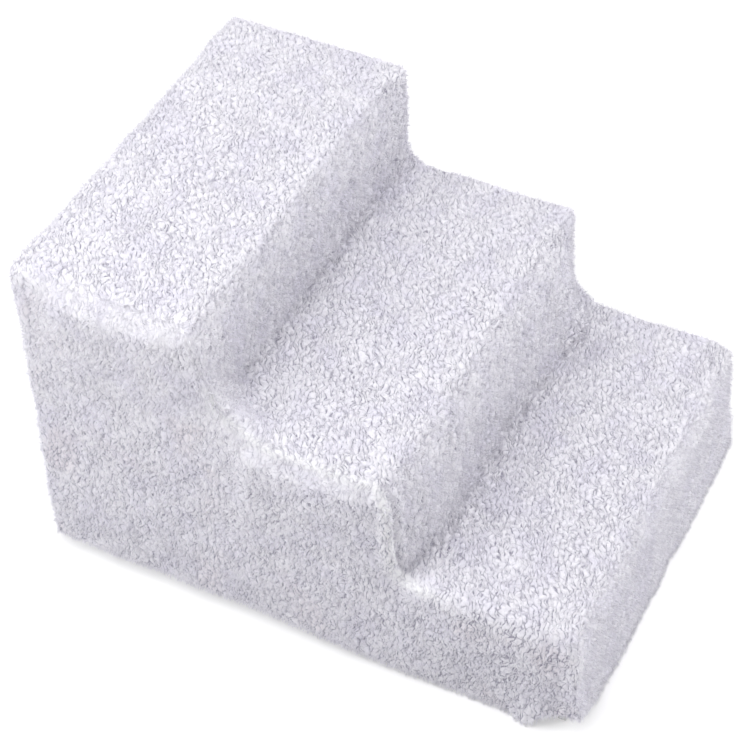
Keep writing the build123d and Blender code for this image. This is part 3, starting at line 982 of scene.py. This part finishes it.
def closed_piece(name, outer_quads, rim_faces, lining_points):
    """Panel from the displaced outer skin, its rim faces and its lining points."""
    numbers = np.unique(outer_quads)
    outer = index_of(numbers)
    vertices = np.concatenate([places[outer], lining_points])
    skin = np.searchsorted(numbers, outer_quads)
    faces = [tuple(quad) for quad in skin.tolist()] + rim_faces(numbers, len(numbers))
    slots = np.zeros(len(faces), np.int32)
    slots[len(skin):] = 1
    piece = add_mesh(name, vertices, faces, (pile_finish, backing_finish), slots)
    mesh = piece.data
    # crevice_share carries the painted crevice shade, and rim_share the painted highlight on the rim and
    # the smooth parts
    for key, values in (
        ("nub_height", nub_height), ("crevice_share", painted_crevice_shade), ("side_share", sideways),
        ("edge_reach", edge_reach), ("rim_share", np.clip(rim + 0.1 * softness, 0, 1)),
    ):
        padding = np.zeros(len(lining_points))
        keep_values(mesh, key, "FLOAT", np.concatenate([values[outer], padding]))
    keep_values(mesh, "pile_place", "FLOAT_VECTOR", np.concatenate([pile[outer], lining_points]))
    mesh.update()
    mesh.shade_smooth()
    face_normals = np.zeros(len(faces) * 3, np.float32)
    mesh.polygons.foreach_get("normal", face_normals)
    totals = np.array([len(face) for face in faces])
    corner_vertices = np.zeros(len(mesh.loops), np.int32)
    mesh.loops.foreach_get("vertex_index", corner_vertices)
    normals = np.repeat(face_normals.reshape(-1, 3), totals, axis=0)
    on_skin = np.repeat(slots == 0, totals)
    normals[on_skin] = outer_normals[outer[corner_vertices[on_skin]]]
    mesh.normals_split_custom_set(normals.tolist())
    return piece


def runner_panel(node, first, last):
    """Panel of the runner between two places of its path."""
    grid = runner_numbers(first, last)
    rows = lining[first:last + 1]
    count = len(rows)
    left = np.stack([np.full(count, -lining_half_width), rows[:, 0], rows[:, 1]], axis=1)
    right = left * (-1, 1, 1)
    ends = [np.linspace(left[row], right[row], len(x_line))[1:-1] for row in (0, -1)]
    inner = np.concatenate([left, right, *ends])
    inner[:, 2] += corner_lift(inner)

    def rim_faces(numbers, start):
        """Faces of the lining, and of the rim between it and the skin."""
        skin = np.searchsorted(numbers, grid).tolist()
        lefts = list(range(start, start + count))
        rights = list(range(start + count, start + 2 * count))
        first_inner = list(range(start + 2 * count, start + 2 * count + len(x_line) - 2))
        last_inner = [number + len(first_inner) for number in first_inner]
        faces = [(lefts[0], lefts[1], rights[1], rights[0], *first_inner[::-1])]
        for row in range(1, count - 2):
            faces.append((lefts[row], lefts[row + 1], rights[row + 1], rights[row]))
        faces.append((lefts[-2], lefts[-1], *last_inner, rights[-1], rights[-2]))
        for row in range(count - 1):
            faces.append((skin[row][0], skin[row + 1][0], lefts[row + 1], lefts[row]))
            faces.append((skin[row + 1][-1], skin[row][-1], rights[row], rights[row + 1]))
        low = [lefts[0], *first_inner, rights[0]]
        high = [lefts[-1], *last_inner, rights[-1]]
        for column in range(len(x_line) - 1):
            faces.append((skin[0][column + 1], skin[0][column], low[column], low[column + 1]))
            faces.append((skin[-1][column], skin[-1][column + 1], high[column + 1], high[column]))
        return faces

    return closed_piece(node.replace("cover", "fleece"), skins[node], rim_faces, inner)


def side_panel(node, side):
    """Side panel with its lining as one flat face."""
    ix = 0 if side < 0 else len(x_line) - 1
    edge = point_numbers(ix, path[:, 0], path[:, 1])
    bottom = point_numbers(ix, np.arange(len(y_line)), 0)
    count = len(edge)
    inner = np.stack([np.full(count, side * lining_half_width), lining[:, 0], lining[:, 1]], axis=1)
    inner_hem = np.linspace(inner[0], inner[-1], len(y_line))[1:-1]
    inner = np.concatenate([inner, inner_hem])
    inner[:, 2] += corner_lift(inner)

    def rim_faces(numbers, start):
        """The lining's face, and the faces of the rim between it and the skin."""
        outer = np.searchsorted(numbers, edge).tolist()
        hem = np.searchsorted(numbers, bottom).tolist()
        inners = list(range(start, start + count))
        low = list(range(start + count, start + count + len(inner_hem)))
        faces = [(*inners[::-1], *low)]
        for row in range(count - 1):
            faces.append((outer[row + 1], outer[row], inners[row], inners[row + 1]))
        low = [inners[0], *low, inners[-1]]
        for place in range(len(hem) - 1):
            faces.append((hem[place], hem[place + 1], low[place + 1], low[place]))
        if side > 0:
            faces = [face[::-1] for face in faces]
        return faces

    return closed_piece(node.replace("cover", "fleece"), skins[node], rim_faces, inner)


fibres_per_face, fibres_per_hem_face = 0.42, 6
fibre_width, tuft_share, tuft_widening = 0.38 * MM, 0.12, 1.8
shortest_fibre, longest_fibre = 1.6 * MM, 5.6 * MM
root_depth, floor_gap = 0.3 * MM, 0.2 * MM
lean_share, combed_share, stray_share, lay_share = 0.65, 0.8, 0.5, 0.2
hem_droop = np.array([0, 0, -1.6])


def fibre_piece(node, seed):
    """Loose fibre ends of a panel's pile, as slim closed spikes."""
    random = np.random.RandomState(seed)
    quads = index_of(skins[node])
    chosen = random.randint(len(quads), size=int(fibres_per_face * len(quads)))
    at_hem = np.flatnonzero((skins[node] % len(z_line) == 0).any(axis=1))
    if len(at_hem):
        extra = random.randint(len(at_hem), size=fibres_per_hem_face * len(at_hem))
        chosen = np.append(chosen, at_hem[extra])
    count = len(chosen)
    corners = quads[chosen]
    hanging = np.isin(chosen, at_hem)[:, None]
    across, along = random.uniform(size=(2, count, 1))
    weights = ((1 - across) * (1 - along), across * (1 - along), across * along, (1 - across) * along)
    root = sum(weight * places[corners[:, turn]] for turn, weight in enumerate(weights))
    normal = base_normals[corners[:, 0]] + 0.4 * outer_normals[corners[:, 0]]
    lean = combed_share * drifts(root, 6 * MM, 51) + lay_share * lay
    lean += stray_share * random.normal(size=(count, 3))
    direction = normal + lean_share * lean + hanging * hem_droop
    direction /= np.linalg.norm(direction, axis=1, keepdims=True)
    length = random.uniform(shortest_fibre, longest_fibre, size=(count, 1))
    side = np.cross(direction, random.normal(size=(count, 3)))
    side /= np.linalg.norm(side, axis=1, keepdims=True)
    other = np.cross(direction, side)
    tufted = random.uniform(size=(count, 1)) < tuft_share
    half = fibre_width / 2 * (1 + tuft_widening * tufted)
    ring = []
    for angle in (0, 2 * math.pi / 3, 4 * math.pi / 3):
        outwards = math.cos(angle) * side + math.sin(angle) * other
        ring.append(root - root_depth * direction + half * outwards)
    points = np.stack([*ring, root + direction * length], axis=1).reshape(-1, 3)
    points[:, 2] = np.maximum(points[:, 2], floor_gap)
    start = np.arange(count)[:, None] * 4
    pattern = np.array([(2, 1, 0), (0, 1, 3), (1, 2, 3), (2, 0, 3)])
    faces = (start[:, None, :] + pattern[None]).reshape(-1, 3)
    slots = np.zeros(len(faces), np.int32)
    piece = add_mesh(node.replace("cover", "fibres"), points, faces.tolist(), (fibre_finish,), slots)
    keep_values(piece.data, "shade", "FLOAT", np.repeat(random.uniform(size=count) * ~tufted[:, 0], 4))
    return piece


cover_panels = {}
for node, first, last in zip(runner_nodes, seams, seams[1:]):
    cover_panels[node] = runner_panel(node, first, last)
for node, side in side_nodes.items():
    cover_panels[node] = side_panel(node, side)

for seed, (node, panel) in enumerate(cover_panels.items()):
    fibres = fibre_piece(node, seed)
    for piece in (panel, fibres):
        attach(piece, "cover")
    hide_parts(node)


# Floor, backdrop and light
floor_glow, sky_strength = 0.3, 0.368
light_aim, light_size = Vector((0, 0, 0.15)), 1.2


def seen_directly(tree):
    """1 where the camera or a glossy piece sees it, and 0 for the light that it casts."""
    rays = tree.nodes.new("ShaderNodeLightPath")
    return maths(tree, "MAXIMUM", rays.outputs["Is Camera Ray"], rays.outputs["Is Glossy Ray"])


def add_floor():
    """Plain pale floor that reads as white to the camera and keeps the shadow."""
    bpy.ops.mesh.primitive_plane_add(size=12)
    floor = bpy.context.object
    floor.name = "floor"
    material, tree, shader = new_material("floor_paper", (0.85, 0.85, 0.85), 0.9)
    shader.inputs["Emission Color"].default_value = (1, 1, 1, 1)
    glow = maths(tree, "MULTIPLY", seen_directly(tree), floor_glow)
    tree.links.new(glow, shader.inputs["Emission Strength"])
    floor.data.materials.append(material)


def add_light(name, place, watts):
    """Square soft light that faces the stairs."""
    bpy.ops.object.light_add(type="AREA", location=place)
    lamp = bpy.context.object
    lamp.name = name
    lamp.data.size = light_size
    lamp.data.energy = watts
    direction = light_aim - Vector(place)
    lamp.rotation_euler = direction.to_track_quat("-Z", "Y").to_euler()


def add_world():
    """White to the camera, and a soft grey light on the object."""
    world = bpy.data.worlds.new("studio")
    bpy.context.scene.world = world
    world.use_nodes = True
    tree = world.node_tree
    background = tree.nodes["Background"]
    seen = seen_directly(tree)
    tree.links.new(mixed(tree, seen, (0.97, 0.96, 1.0), (1.0, 1.0, 1.0)), background.inputs["Color"])
    tree.links.new(spread(tree, seen, 0, 1, sky_strength, 1.0), background.inputs["Strength"])


add_floor()
add_world()
add_light("rear_left_light", (-0.75, 0.65, 1.15), 11.7)
add_light("left_light", (-2.0, 0.1, 1.2), 4.3)
add_light("top_light", (0.0, 0.0, 2.6), 18.7)
add_light("front_right_light", (1.2, -1.8, 1.2), 28.5)

bpy.context.scene.view_settings.view_transform = "Standard"
